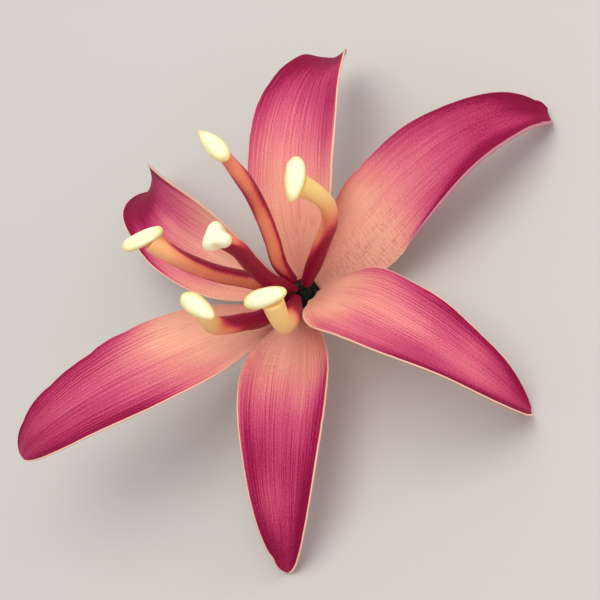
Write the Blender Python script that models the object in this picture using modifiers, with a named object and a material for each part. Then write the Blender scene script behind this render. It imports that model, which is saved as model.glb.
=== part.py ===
"""A single sugar-paste lily bloom, cut with a short trimmed stem and laid on a surface.

The bloom is drawn round its own axis, +Z, with the petal roots at the origin: six petals in a
ring, five stamens (a filament and an anther each) and a pistil (a style and a stigma) in the
middle, and the taped stem below. The whole bloom then hangs on one empty that leans it until it
rests on the tips of three petals.

Lengths are in millimetres and angles in degrees until a point is handed to Blender.
"""
import math
from collections import namedtuple

import bmesh
import bpy
import numpy as np
from mathutils import Matrix, Quaternion, Vector

MM = 0.001
COLLECTION = "Lily"

# Petals. Every petal is cut from the same flat shape: a narrow claw at the root, widest a little
# before the middle and drawn in to a blunt tip.
PETAL_THICKNESS = 0.8
ROOT_RING_RADIUS = 3.7      # from the bloom's axis to the petal roots
CLAW_SHARE = 0.13           # width of the claw's end, as a share of the full width
RUFFLE = 0.35               # height of the soft waves along the margins
RUFFLE_COUNT = 3.5          # waves along one margin
RUFFLE_LAG = 1.3            # how far the waves of the two margins are apart, in radians
FLATTEST_CURL = 0.01        # radians; a cross-section never gets flatter than this
PETAL_ROWS = 30
ROW_SPACING = 1.15          # above 1 the rows get closer towards the tip
PETAL_COLUMNS = 8

# One petal: its cut shape and its bend. In the cut shape, spread is how slowly the claw widens,
# draw how late the outline starts to close towards the tip, and fullness how round it then is; the
# blunt tip is tip_width wide. In the bend, climb holds the midrib's angles from the bloom's axis,
# cup the angles that the cross-section curls through, and twist the angles that it rolls by, each
# from the root to the tip and blended smoothly between. sway turns the midrib sideways, in
# proportion to the distance along it and to that distance squared.
Petal = namedtuple("Petal", "azimuth length width widest_at fullness spread draw tip_width "
                            "root_height climb sway twist cup")

PETALS = {
    "petal_top": Petal(
        azimuth=82.5, length=73.5, width=22.5,
        widest_at=0.33, fullness=0.59, spread=0.95, draw=1.95, tip_width=1.2, root_height=0.3,
        climb=(52, 54, 86, 133, 157), sway=(-4, 8), twist=(13, 13, -10), cup=(75, 31, 38, 34)),
    "petal_upper_right": Petal(
        azimuth=32, length=76, width=24,
        widest_at=0.32, fullness=0.68, spread=0.80, draw=1.55, tip_width=6.0, root_height=-0.8,
        climb=(71, 68, 61, 103, 159), sway=(2, -9), twist=(6, -2, 12), cup=(-4, -28, 72, 29)),
    "petal_right": Petal(
        azimuth=331, length=79.5, width=22.5,
        widest_at=0.42, fullness=0.57, spread=1.10, draw=1.70, tip_width=1.2, root_height=0.9,
        climb=(45, 30, 85, 106, 161), sway=(-8, -1), twist=(-19, -19, -53), cup=(35, 9, 61, 35)),
    "petal_bottom": Petal(
        azimuth=276.5, length=72, width=21.5,
        widest_at=0.37, fullness=0.62, spread=1.35, draw=1.60, tip_width=1.0, root_height=0.0,
        climb=(42, 67, 72, 116, 134), sway=(-7, -14), twist=(11, -29, -17), cup=(33, -3, 61, 64)),
    "petal_left": Petal(
        azimuth=219, length=82, width=21,
        widest_at=0.43, fullness=0.59, spread=1.10, draw=1.60, tip_width=2.0, root_height=-0.6,
        climb=(59, 39, 62, 83, 138), sway=(-13, -7), twist=(-12, 4, -21), cup=(27, 28, 21, 11)),
    "petal_upper_left": Petal(
        azimuth=156, length=73.5, width=23,
        widest_at=0.36, fullness=0.61, spread=0.90, draw=1.85, tip_width=1.0, root_height=0.0,
        climb=(76, 73, 91, 122, 169), sway=(-33, -11), twist=(-40, -6, -28), cup=(75, 13, 49, 77)),
}
RESTING_PETALS = ("petal_upper_left", "petal_upper_right", "petal_bottom")

# Stamens. Each filament is a thick tube that swells from a blunt foot, in the ring round the
# style's, and turns at its end to meet the back of its anther.
FILAMENT_APPROACH = 2.4      # straight run into the anther's back
FILAMENT_SWELL = 8.0         # how far up the foot takes to reach the full radius
FILAMENT_FLARE = 8.0         # how far before its end it starts to change to the end's radius
FOOT_RING_RADIUS = 3.0
FOOT_HEIGHT = 3.0
PATH_POINTS = 18

# One stamen: the side that its foot stands on, the filament's radii at the foot, along most of
# its length and at its end, the points that it runs through, the last of them being where it
# turns straight for the anther, how far along the anther it meets it, and the anther's centre and
# direction.
Stamen = namedtuple("Stamen", "foot_azimuth foot_radius radius end_radius through meets_at "
                              "anther_centre anther_along")

STAMENS = {
    "upper": Stamen(
        foot_azimuth=112, foot_radius=1.3, radius=1.95, end_radius=1.5,
        through=((-1.9, 4.7, 8.6), (-1.0, 8.5, 15), (-0.3, 13, 23), (-0.2, 16.5, 31),
                 (-1.9, 20.6, 35.8)),
        meets_at=2.6, anther_centre=(-3.8, 22.6, 40), anther_along=(0.66, -0.74, -0.05)),
    "right": Stamen(
        foot_azimuth=22, foot_radius=1.4, radius=1.95, end_radius=2.45,
        through=((6.7, 4, 8), (11.8, 6.2, 15), (16, 8, 21), (18.2, 9.2, 27), (18.1, 9.9, 32.5),
                 (17, 10.3, 35.2)),
        meets_at=0.6, anther_centre=(15.4, 11.5, 39.2), anther_along=(-0.1, -0.99, -0.05)),
    "left": Stamen(
        foot_azimuth=160, foot_radius=0.8, radius=2.1, end_radius=2.5,
        through=((-9, 1.3, 10), (-12.4, 0.6, 18), (-14.5, 0.3, 25), (-17, 0.9, 32), (-20.6, 2.7, 35)),
        meets_at=1.3, anther_centre=(-22.1, 3.8, 38.5), anther_along=(0.93, 0.35, -0.1)),
    "lower_left": Stamen(
        foot_azimuth=205, foot_radius=0.8, radius=2.1, end_radius=2.1,
        through=((-5.8, -8, 9), (-7.4, -11.4, 17), (-8.6, -14.1, 24), (-8.7, -15.4, 29.5),
                 (-7.6, -15.4, 34.4)),
        meets_at=1.2, anther_centre=(-7.8, -14.1, 38.3), anther_along=(0.79, -0.62, 0.05)),
    "lower": Stamen(
        foot_azimuth=258, foot_radius=1.4, radius=2.05, end_radius=2.55,
        through=((1.8, -7, 9), (5.2, -12.6, 18), (7.4, -16.6, 26), (8.6, -17.4, 31),
                 (8.6, -15.8, 34.2)),
        meets_at=0.9, anther_centre=(8.1, -14, 37.8), anther_along=(0.99, 0.1, 0.07)),
}
ANTHER_LENGTH = 10.3
ANTHER_WIDTH = 4.6
ANTHER_HEIGHT = 3.8
ANTHER_GROOVE = 0.10         # depth of the lengthwise grooves, as a share of the radius
ANTHER_GROOVES = 4
ANTHER_POINT = 0.18          # how much slimmer one end is than the other

# Pistil
STYLE_FOOT_HEIGHT = 2.9
STYLE_FOOT_RADIUS = 0.9
STYLE_RADIUS = 2.0
STYLE_THROUGH = ((-1.4, -0.8, 9), (-1.6, -1.6, 16), (-1.2, -1.0, 26), (-0.4, -0.5, 34),
                 (-0.9, -0.5, 39.4))
STIGMA_CENTRE = (-1.3, -0.6, 42.6)
STIGMA_RADIUS = 3.3
STIGMA_LOBES = 3
STIGMA_LOBE_DEPTH = 0.24     # how deep the clefts between the lobes run, as a share of the radius
STIGMA_TURN = 95             # azimuth of the first lobe
STIGMA_LOBE_LEVEL = 0.4      # where the plain radius lies between the lobes and the clefts
STIGMA_DIMPLE = 0.35         # depth of the hollow on top, as a share of the height
STIGMA_FLATNESS = 0.82

# Taped stem below the petals, trimmed short: radius and height, from the top of the wires that the
# filaments' feet stand on, down its outside.
STEM_PROFILE = ((0, 2.3), (1.0, 2.3), (1.5, 1.9), (2.3, 0.9), (2.6, 0.1), (2.6, -1.4), (4.2, -2.0),
                (4.6, -2.6), (3.4, -3.8), (2.1, -4.4), (1.9, -4.6), (1.7, -4.8), (0, -4.8))
STEM_SIDES = 20

TOUCH_GAP = 0.35             # between pieces that touch

TUBE_SEGMENTS = 2            # bevel resolution of the tubes
PATH_STEPS = 12              # steps between two points of a path while it is evened out
CREASE_ANGLE = 50            # edges sharper than this stay sharp
RESTING_ROUNDS = 6           # rounds of leaning the bloom on to its three lowest tips


def clear_scene():
    for item in list(bpy.data.objects):
        bpy.data.objects.remove(item, do_unlink=True)


def make_material(name, colour, roughness):
    material = bpy.data.materials.new(name)
    material.use_nodes = True
    shader = material.node_tree.nodes["Principled BSDF"]
    shader.inputs["Base Color"].default_value = (*colour, 1.0)
    shader.inputs["Roughness"].default_value = roughness
    shader.inputs["Metallic"].default_value = 0.0
    return material


def add_part(name, data, material, collection, bloom):
    """Put one piece in the collection, hung on the bloom's empty."""
    part = bpy.data.objects.new(name, data)
    data.materials.append(material)
    collection.objects.link(part)
    part.parent = bloom
    return part


def smooth(mesh):
    mesh.shade_smooth()
    mesh.set_sharp_from_angle(angle=math.radians(CREASE_ANGLE))


def blend(values, share):
    """A smooth (Bernstein) blend of values from share 0 to share 1."""
    last = len(values) - 1
    return sum(math.comb(last, i) * value * share**i * (1 - share)**(last - i)
               for i, value in enumerate(values))


def half_width(petal, share):
    """Half the petal's width at a share of its length."""
    if share < petal.widest_at:
        rise = math.sin(0.5 * math.pi * share / petal.widest_at)**petal.spread if share > 0 else 0.0
        outline = CLAW_SHARE + (1 - CLAW_SHARE) * rise
    else:
        left = (1 - share) / (1 - petal.widest_at)
        outline = (1 - (1 - left)**petal.draw)**petal.fullness
    return max(0.5 * petal.width * outline, 0.5 * petal.tip_width)


def direction(petal, share):
    """The midrib's direction at a share of its length, and the side that it faces."""
    climb = math.radians(blend(petal.climb, share))
    side = math.radians(petal.azimuth + petal.sway[0] * share + petal.sway[1] * share**2)
    heading = (math.sin(climb) * math.cos(side), math.sin(climb) * math.sin(side), math.cos(climb))
    return Vector(heading), side


def midrib(petal, shares):
    """Points along the midrib, added up from its directions."""
    side = math.radians(petal.azimuth)
    point = ROOT_RING_RADIUS * Vector((math.cos(side), math.sin(side), 0))
    point.z = petal.root_height
    points = [point.copy()]
    for start, end in zip(shares, shares[1:]):
        heading, _ = direction(petal, 0.5 * (start + end))
        point += heading * (end - start) * petal.length
        points.append(point.copy())
    return points


def petal_point(petal, share, across, rib):
    """The inner face at a share of the length and a place across, -1 to 1, from a midrib point."""
    heading, side = direction(petal, share)
    level = Vector((-math.sin(side), math.cos(side), 0))
    facing = heading.cross(level)
    roll = math.radians(blend(petal.twist, share))
    sideways = math.cos(roll) * level + math.sin(roll) * facing
    inwards = math.cos(roll) * facing - math.sin(roll) * level
    curl = math.radians(blend(petal.cup, share))
    curl = math.copysign(max(abs(curl), FLATTEST_CURL), curl)
    reach = half_width(petal, share) / curl
    lift = reach * (1 - math.cos(curl * across))
    phase = RUFFLE_LAG * across + math.radians(petal.azimuth)
    wave = math.sin(2 * math.pi * RUFFLE_COUNT * share + phase)
    lift += RUFFLE * wave * across**4 * math.sin(math.pi * share)
    return rib + sideways * reach * math.sin(curl * across) + inwards * lift


def make_petal(name, petal, material, collection, bloom):
    """A grid bent to the petal's form, split into triangles and given its thickness outwards."""
    bm = bmesh.new()
    bmesh.ops.create_grid(bm, x_segments=PETAL_ROWS, y_segments=PETAL_COLUMNS, size=1.0)
    shares = [1 - (1 - i / PETAL_ROWS)**ROW_SPACING for i in range(PETAL_ROWS + 1)]
    ribs = midrib(petal, shares)
    for vertex in bm.verts:
        row = round((vertex.co.x + 1) / 2 * PETAL_ROWS)
        vertex.co = petal_point(petal, shares[row], vertex.co.y, ribs[row]) * MM
    bmesh.ops.triangulate(bm, faces=bm.faces, quad_method="FIXED")
    mesh = bpy.data.meshes.new(name)
    bm.to_mesh(mesh)
    bm.free()
    smooth(mesh)
    part = add_part(name, mesh, material, collection, bloom)
    shell = part.modifiers.new("thickness", "SOLIDIFY")
    shell.thickness = PETAL_THICKNESS * MM
    shell.offset = -1.0
    shell.use_even_offset = False
    return part


def smooth_path(points, count):
    """Evenly spaced points on a Catmull-Rom curve through the given points."""
    knots = [Vector(p) for p in points]
    knots = [2 * knots[0] - knots[1]] + knots + [2 * knots[-1] - knots[-2]]
    fine = []
    for a, b, c, d in zip(knots, knots[1:], knots[2:], knots[3:]):
        for step in range(PATH_STEPS):
            t = step / PATH_STEPS
            fine.append(0.5 * (2 * b + (c - a) * t + (2 * a - 5 * b + 4 * c - d) * t**2
                               + (3 * b - a - 3 * c + d) * t**3))
    fine.append(knots[-2])
    travelled = np.cumsum([0.0] + [(q - p).length for p, q in zip(fine, fine[1:])])
    wanted = np.linspace(0, travelled[-1], count)
    return [Vector([float(np.interp(w, travelled, [p[axis] for p in fine])) for axis in range(3)])
            for w in wanted], wanted


def smooth_share(value):
    share = min(max(value, 0.0), 1.0)
    return share * share * (3 - 2 * share)


def make_tube(name, points, radii, material, collection, bloom):
    """A tube through the points; radii are those of its foot, its body and its end."""
    foot_radius, radius, end_radius = radii
    path, distances = smooth_path(points, PATH_POINTS)
    curve = bpy.data.curves.new(name, "CURVE")
    curve.dimensions = "3D"
    curve.bevel_depth = radius * MM
    curve.bevel_resolution = TUBE_SEGMENTS
    curve.use_fill_caps = True
    spline = curve.splines.new("POLY")
    spline.points.add(len(path) - 1)
    for knot, point, distance in zip(spline.points, path, distances):
        knot.co = (*(point * MM), 1.0)
        thinner = (radius - foot_radius) * (1 - smooth_share(distance / FILAMENT_SWELL))
        flared = (end_radius - radius) * smooth_share(1 - (distances[-1] - distance) / FILAMENT_FLARE)
        knot.radius = 1 + (flared - thinner) / radius
    return add_part(name, curve, material, collection, bloom)


def anther_axes(stamen):
    """The anther's broad side, its back-to-front direction and its length."""
    along = Vector(stamen.anther_along).normalized()
    front = Vector(stamen.anther_centre) - Vector(stamen.through[-1])
    front = (front - front.dot(along) * along).normalized()
    return front.cross(along), front, along


def make_filament(name, stamen, material, collection, bloom):
    side = math.radians(stamen.foot_azimuth)
    foot = (FOOT_RING_RADIUS * math.cos(side), FOOT_RING_RADIUS * math.sin(side), FOOT_HEIGHT)
    _, front, along = anther_axes(stamen)
    met = Vector(stamen.anther_centre) + stamen.meets_at * along
    end = met - front * (0.5 * ANTHER_HEIGHT + TOUCH_GAP)
    approach = end - front * FILAMENT_APPROACH
    points = (foot, *stamen.through[:-1], approach, end)
    radii = (stamen.foot_radius, stamen.radius, stamen.end_radius)
    make_tube(name, points, radii, material, collection, bloom)


def make_anther(name, stamen, material, collection, bloom):
    """A grooved oval, slimmer at one end, lying across the end of its filament."""
    bm = bmesh.new()
    bmesh.ops.create_uvsphere(bm, u_segments=16, v_segments=10, radius=1.0)
    for vertex in bm.verts:
        around = math.atan2(vertex.co.y, vertex.co.x)
        taper = 1 + ANTHER_POINT * 0.5 * vertex.co.z
        hollow = (0.5 - 0.5 * math.cos(ANTHER_GROOVES * around)) * (1 - vertex.co.z**2)
        groove = 1 - ANTHER_GROOVE * hollow
        vertex.co.x *= 0.5 * ANTHER_WIDTH * taper * groove
        vertex.co.y *= 0.5 * ANTHER_HEIGHT * taper * groove
        vertex.co.z *= 0.5 * ANTHER_LENGTH
    mesh = bpy.data.meshes.new(name)
    turned = Matrix(anther_axes(stamen)).transposed().to_4x4()
    bm.transform(Matrix.Scale(MM, 4) @ Matrix.Translation(stamen.anther_centre) @ turned)
    bm.to_mesh(mesh)
    bm.free()
    smooth(mesh)
    add_part(name, mesh, material, collection, bloom)


def make_stigma(material, collection, bloom):
    """A knob of three rounded lobes that meet in clefts on its top and sides."""
    bm = bmesh.new()
    bmesh.ops.create_uvsphere(bm, u_segments=24, v_segments=12, radius=1.0)
    for vertex in bm.verts:
        around = math.atan2(vertex.co.y, vertex.co.x) - math.radians(STIGMA_TURN)
        level = 1 - vertex.co.z**2
        lobe = 1 + STIGMA_LOBE_DEPTH * (math.cos(STIGMA_LOBES * around) - STIGMA_LOBE_LEVEL) * level
        dimple = 1 - STIGMA_DIMPLE * max(vertex.co.z, 0)**6
        vertex.co.x *= STIGMA_RADIUS * lobe
        vertex.co.y *= STIGMA_RADIUS * lobe
        vertex.co.z *= STIGMA_RADIUS * STIGMA_FLATNESS * dimple
    mesh = bpy.data.meshes.new("stigma")
    bm.transform(Matrix.Scale(MM, 4) @ Matrix.Translation(STIGMA_CENTRE))
    bm.to_mesh(mesh)
    bm.free()
    smooth(mesh)
    add_part("stigma", mesh, material, collection, bloom)


def make_stem(material, collection, bloom):
    """The taped stem end, turned from its profile."""
    mesh = bpy.data.meshes.new("stem")
    points = [(radius * MM, 0.0, height * MM) for radius, height in STEM_PROFILE]
    edges = [(i, i + 1) for i in range(len(points) - 1)]
    mesh.from_pydata(points, edges, [])
    part = add_part("stem", mesh, material, collection, bloom)
    turn = part.modifiers.new("turned", "SCREW")
    turn.axis = "Z"
    turn.steps = STEM_SIDES
    turn.render_steps = STEM_SIDES
    turn.use_merge_vertices = True
    turn.merge_threshold = 0.00001
    turn.use_smooth_shade = False


def world_points(part):
    """The part's evaluated vertices, in world space."""
    bpy.context.view_layer.update()
    shaped = part.evaluated_get(bpy.context.evaluated_depsgraph_get())
    mesh = shaped.to_mesh()
    points = np.empty(len(mesh.vertices) * 3, dtype=np.float32)
    mesh.vertices.foreach_get("co", points)
    shaped.to_mesh_clear()
    points = points.reshape(-1, 3).astype(float)
    return points @ np.array(part.matrix_world.to_3x3()).T + np.array(part.matrix_world.translation)


def lay_down(bloom, petals):
    """Lean the bloom on to the tips of its resting petals, then centre it on the surface."""
    resting = [world_points(petals[name]) for name in RESTING_PETALS]
    lean = Quaternion()
    for _ in range(RESTING_ROUNDS):
        turned = [points @ np.array(lean.to_matrix()).T for points in resting]
        lowest = [Vector(points[points[:, 2].argmin()]) for points in turned]
        up = (lowest[1] - lowest[0]).cross(lowest[2] - lowest[0]).normalized()
        if up.z < 0:
            up = -up
        lean = up.rotation_difference(Vector((0, 0, 1))) @ lean
    bloom.rotation_mode = "QUATERNION"
    bloom.rotation_quaternion = lean
    everything = np.vstack([world_points(part) for part in bloom.children])
    low, high = everything.min(axis=0), everything.max(axis=0)
    bloom.location = (-0.5 * (low[0] + high[0]), -0.5 * (low[1] + high[1]), -low[2])
    bpy.context.view_layer.update()


def main():
    clear_scene()
    collection = bpy.data.collections.new(COLLECTION)
    bpy.context.scene.collection.children.link(collection)
    bloom = bpy.data.objects.new("bloom_axis", None)
    collection.objects.link(bloom)

    petals = {}
    for name, petal in PETALS.items():
        paste = make_material(name, (0.62, 0.12, 0.20), 0.6)
        petals[name] = make_petal(name, petal, paste, collection, bloom)
    for side, stamen in STAMENS.items():
        dusted = make_material("filament_" + side, (0.75, 0.26, 0.12), 0.55)
        make_filament("filament_" + side, stamen, dusted, collection, bloom)
        cream = make_material("anther_" + side, (0.95, 0.88, 0.55), 0.5)
        make_anther("anther_" + side, stamen, cream, collection, bloom)
    crimson = make_material("style", (0.35, 0.02, 0.06), 0.55)
    style_points = ((0.0, 0.0, STYLE_FOOT_HEIGHT), *STYLE_THROUGH)
    style_radii = (STYLE_FOOT_RADIUS, STYLE_RADIUS, STYLE_RADIUS)
    make_tube("style", style_points, style_radii, crimson, collection, bloom)
    make_stigma(make_material("stigma", (0.95, 0.90, 0.68), 0.35), collection, bloom)
    make_stem(make_material("stem", (0.02, 0.05, 0.03), 0.6), collection, bloom)
    lay_down(bloom, petals)


main()
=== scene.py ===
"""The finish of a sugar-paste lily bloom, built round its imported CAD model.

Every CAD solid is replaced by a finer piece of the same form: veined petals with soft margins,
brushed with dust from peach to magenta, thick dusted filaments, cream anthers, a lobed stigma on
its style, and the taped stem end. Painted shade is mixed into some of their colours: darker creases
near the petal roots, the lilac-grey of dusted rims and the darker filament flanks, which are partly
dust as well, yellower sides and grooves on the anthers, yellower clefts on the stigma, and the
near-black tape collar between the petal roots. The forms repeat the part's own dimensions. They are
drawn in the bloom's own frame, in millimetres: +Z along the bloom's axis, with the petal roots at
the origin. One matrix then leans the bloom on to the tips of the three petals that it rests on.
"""
import math
from collections import namedtuple

import bpy
import numpy as np
from mathutils import Matrix, Quaternion, Vector


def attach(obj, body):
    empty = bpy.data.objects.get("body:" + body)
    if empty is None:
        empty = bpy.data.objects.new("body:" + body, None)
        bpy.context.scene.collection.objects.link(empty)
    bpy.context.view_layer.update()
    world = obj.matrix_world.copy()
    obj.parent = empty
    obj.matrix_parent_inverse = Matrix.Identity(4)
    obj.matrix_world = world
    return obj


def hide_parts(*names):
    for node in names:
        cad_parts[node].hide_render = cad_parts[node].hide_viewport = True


MM = 0.001

# How the bloom lies: the pose that the CAD source works out, copied here as numbers.
BLOOM_LEAN = Quaternion((0.995666, 0.0706183, 0.0603118, 0.0049669))
BLOOM_PLACE = Vector((0.1808, 1.4581, 5.555))
BLOOM = Matrix.Translation(BLOOM_PLACE * MM) @ BLOOM_LEAN.to_matrix().to_4x4() @ Matrix.Scale(MM, 4)

# The view: how the bloom's axis leans away from the line of sight, and the side it leans to,
# counter-clockwise from the picture's right; the petal roots lie a little off the middle.
AXIS_TILT = 30.0
AXIS_TOWARDS = 144.0
ROOTS_OFF_CENTRE = Vector((0.48, 1.68, 0.0))
VIEW_DISTANCE = 360.0
LENS = 90.0
SENSOR = 36.0

# Petals: the cut shape and the bend, as in the CAD model. A separate fitting program worked out
# nearly all values of the table, so they aren't designed by hand. tip_width and root_height are
# given.
PETAL_THICKNESS = 0.8
ROOT_RING_RADIUS = 3.7
CLAW_SHARE = 0.13
RUFFLE = 0.35
RUFFLE_COUNT = 3.5
RUFFLE_LAG = 1.3

Petal = namedtuple("Petal", "azimuth length width widest_at fullness spread draw tip_width "
                            "root_height climb sway twist cup")

PETALS = {
    "petal_top": Petal(
        azimuth=82.5, length=73.5, width=22.5,
        widest_at=0.33, fullness=0.59, spread=0.95, draw=1.95, tip_width=1.2, root_height=0.3,
        climb=(52, 54, 86, 133, 157), sway=(-4, 8), twist=(13, 13, -10), cup=(75, 31, 38, 34)),
    "petal_upper_right": Petal(
        azimuth=32, length=76, width=24,
        widest_at=0.32, fullness=0.68, spread=0.80, draw=1.55, tip_width=6.0, root_height=-0.8,
        climb=(71, 68, 61, 103, 159), sway=(2, -9), twist=(6, -2, 12), cup=(-4, -28, 72, 29)),
    "petal_right": Petal(
        azimuth=331, length=79.5, width=22.5,
        widest_at=0.42, fullness=0.57, spread=1.10, draw=1.70, tip_width=1.2, root_height=0.9,
        climb=(45, 30, 85, 106, 161), sway=(-8, -1), twist=(-19, -19, -53), cup=(35, 9, 61, 35)),
    "petal_bottom": Petal(
        azimuth=276.5, length=72, width=21.5,
        widest_at=0.37, fullness=0.62, spread=1.35, draw=1.60, tip_width=1.0, root_height=0.0,
        climb=(42, 67, 72, 116, 134), sway=(-7, -14), twist=(11, -29, -17), cup=(33, -3, 61, 64)),
    "petal_left": Petal(
        azimuth=219, length=82, width=21,
        widest_at=0.43, fullness=0.59, spread=1.10, draw=1.60, tip_width=2.0, root_height=-0.6,
        climb=(59, 39, 62, 83, 138), sway=(-13, -7), twist=(-12, 4, -21), cup=(27, 28, 21, 11)),
    "petal_upper_left": Petal(
        azimuth=156, length=73.5, width=23,
        widest_at=0.36, fullness=0.61, spread=0.90, draw=1.85, tip_width=1.0, root_height=0.0,
        climb=(76, 73, 91, 122, 169), sway=(-33, -11), twist=(-40, -6, -28), cup=(75, 13, 49, 77)),
}

# The petals' fine surface.
PETAL_ROWS = 200
ROW_SPACING = 1.35           # above 1 the rows get closer towards the tip
FLATTEST_CURL = 0.01         # radians; a cross-section never gets flatter than this
NUDGE = 0.002                # step across the petal that its slope is measured over
FACE_COLUMNS = 192
BACK_COLUMNS = 40
EDGE_COLUMNS = 6
MARGIN_THICKNESS = 0.62      # at the margins, as a share of the thickness in the middle
MARGIN_ROUND = 0.34          # width of the rounded margin
TIP_ROUND = 0.008            # share of the length over which both ends round off
VEIN_DEPTH = 0.085           # height of the fine lengthwise ridges
VEIN_WIDTH = 0.15            # of a ridge, as a share of the space between two
VEIN_JITTER = 0.30           # how far a ridge strays from its place, in the same share
VEIN_WANDER = 0.35           # how far all ridges wander together along the petal
VEIN_BREAKS = 7.0            # how often a ridge gets weaker along the petal
FAINT_VEINS = 0.45           # height of the ridges between the main ones, as a share of theirs
SWELL_DEPTH = 0.10           # depth of the broad lengthwise furrows
SWELL_CELLS = (6.5, 1.8)     # how many furrows there are in half the width, and along the petal
WRINKLE_DEPTH = 0.08         # of the creases near the root
CREASED_FROM = (0.02, 0.08)  # shares of the length where the creases set in
CREASED_TO = (0.36, 0.16)    # and where they end, the far one first
CREASE_WIDTH = 0.16          # in the noise whose zero crossings they follow
CREASE_PAINTED_SHADE = 0.12           # how much darker they are painted: painted shade in the creases
RIPPLED = {"petal_upper_right": 1.1, "petal_bottom": 0.5}    # how rippled across the roots are
RIPPLED_FROM = (0.02, 0.07)  # where the ripples set in
RIPPLED_TO = (0.50, 0.16)    # and where they end, the far one first
RIPPLE_DUST = 1.15           # how much more dust they hold in between
RIPPLE_HEIGHT = 4.0          # their height, as a multiple of the grain's
GROOVE_DEPTH = 0.05          # of the fine grooves, which catch more dust
GROOVES_MORE = 4             # grooves there are in half the width, beyond the number of ridges
BARE_EDGE = 0.3              # of a bare band, from which the cut edge beside it is bare as well
# How far each petal's rim turns lilac-grey with the face's dust: partly dust, partly painted shade.
RIM_DUST_AND_SHADE = {"petal_upper_right": 1.0, "petal_right": 0.2, "petal_bottom": 0.35}
RIM_DUST_AND_SHADE_USUAL = 0.5         # share of the face's dust that a bare rim takes up, on the others, partly as painted shade
MARGIN_NIBBLE = 0.007        # how far the cut margin wanders, as a share of the half-width
NIBBLE_CELLS = (38, 90)      # how often it does so along the petal, coarsely and finely
NOISE_CELLS = 64             # random values each way in the noise, before it repeats

# Small departures of one petal's outline: the side (1 counter-clockwise, -1 clockwise), the share
# of the length, how deep the outline is cut in, and the share over which it is.
NICKS = {
    "petal_top": ((-1, 0.56, -0.65, 0.23),),
    "petal_upper_right": ((1, 0.36, 0.25, 0.012), (1, 1.01, 1.9, 0.030), (-1, 0.78, -0.3, 0.16),
                          (-1, 0.94, -1.0, 0.050), (-1, 1.0, 1.5, 0.014)),
    "petal_right": (),
    "petal_bottom": ((-1, 0.93, 0.4, 0.02), (1, 1.0, 0.45, 0.010), (-1, 1.0, 0.45, 0.010)),
    "petal_left": ((-1, 0.49, 0.25, 0.022), (-1, 0.61, 0.25, 0.025), (-1, 0.74, 0.20, 0.022),
                   (-1, 0.88, 0.25, 0.025)),
    "petal_upper_left": (),
}

# Where a petal's face is pushed out: the share of the length, the place across, the reach along
# and across, and how far.
PUSHED = {"petal_top": ((0.86, 0.75, 0.06, 0.6, 1.3),)}

# How one petal is dusted: middle, left and right hold the shares of its length where dust begins
# and where it is full, along the midrib and at the counter-clockwise and clockwise margins. reach
# says how closely the margins' dust keeps to them, and top is how much dust the full part holds.
# Each band is a brushed streak, or a bare one if its strength is below 0: its place across (-1 to
# 1), its half-width, the shares of the length that it runs between, and its strength. pale is how
# bare the ridges are left and dark how much more dust the grooves catch; veins is how many ridges
# there are in half the width. wrinkles are creases near the root: strength, and their number along
# the length and across it. edges are the widths of the bands that stay bare along the left and the
# right margin, and the share from which they are full.
# A separate fitting program worked out most of the values from middle to bands, from the colours
# of the photo, so they aren't designed by hand. Those from pale to edges are given.
Dust = namedtuple("Dust", "middle left right reach top bands pale dark veins wrinkles edges")

DUST = {
    "petal_top": Dust(
        middle=(0.12, 1.07), left=(-0.08, 0.90), right=(0.30, 0.97), reach=2.1, top=1.20,
        bands=((-0.73, 0.42, 0.66, 0.81, -0.35), (-0.70, 0.17, 0.27, 0.68, 0.15),
               (-0.84, 0.60, 0.34, 1.00, 0.29)),
        pale=0.38, dark=0.18, veins=11, wrinkles=(1.0, 9, 9), edges=(0.0, 0.55, 0.30)),
    "petal_upper_right": Dust(
        middle=(0.35, 1.21), left=(-0.10, 1.14), right=(0.30, 0.35), reach=3.8, top=1.20,
        bands=((0.53, 0.60, 0.37, 1.08, 0.38), (-0.59, 0.60, 0.38, 0.79, 0.50),
               (0.54, 0.60, 0.70, 0.90, -0.20)),
        pale=0.14, dark=0.18, veins=13, wrinkles=(0.0, 9, 9), edges=(0.0, 0.90, 0.75)),
    "petal_right": Dust(
        middle=(0.35, 1.30), left=(-0.15, 1.10), right=(0.30, 0.73), reach=3.3, top=1.20,
        bands=((-0.20, 0.40, 0.33, 0.72, 0.42), (0.60, 0.42, 0.25, 0.72, 0.31),
               (-0.81, 0.29, 0.27, 1.04, 0.46)),
        pale=0.16, dark=0.38, veins=14, wrinkles=(0.3, 20, 7), edges=(0.12, 0.50, 0.20)),
    "petal_bottom": Dust(
        middle=(0.20, 0.69), left=(0.22, 0.35), right=(-0.05, 0.86), reach=3.9, top=0.89,
        bands=((-0.35, 0.60, 0.69, 0.81, -0.29), (-1.00, 0.51, 0.30, 0.95, 0.20),
               (0.88, 0.27, 0.68, 1.09, 0.50), (-1.00, 0.07, 0.30, 0.95, -0.35)),
        pale=0.28, dark=0.32, veins=11, wrinkles=(0.3, 20, 7), edges=(0.40, 0.10, 0.30)),
    "petal_left": Dust(
        middle=(0.22, 0.70), left=(0.24, 0.56), right=(0.30, 0.62), reach=4.0, top=1.20,
        bands=((-0.16, 0.21, 0.63, 0.81, -0.16), (0.41, 0.48, 0.55, 1.13, -0.36),
               (-0.51, 0.56, 0.34, 1.13, -0.44)),
        pale=0.44, dark=0.28, veins=12, wrinkles=(0.3, 20, 7), edges=(0.40, 0.0, 0.30)),
    "petal_upper_left": Dust(
        middle=(0.35, 1.14), left=(0.20, 0.48), right=(0.28, 0.40), reach=3.9, top=0.94,
        bands=((0.53, 0.32, 0.24, 0.91, 0.50), (-0.43, 0.60, 0.36, 0.79, 0.46),
               (0.11, 0.32, 0.60, 0.83, 0.44)),
        pale=0.16, dark=0.20, veins=13, wrinkles=(0.2, 20, 6), edges=(0.25, 0.85, 0.30)),
}

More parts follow.
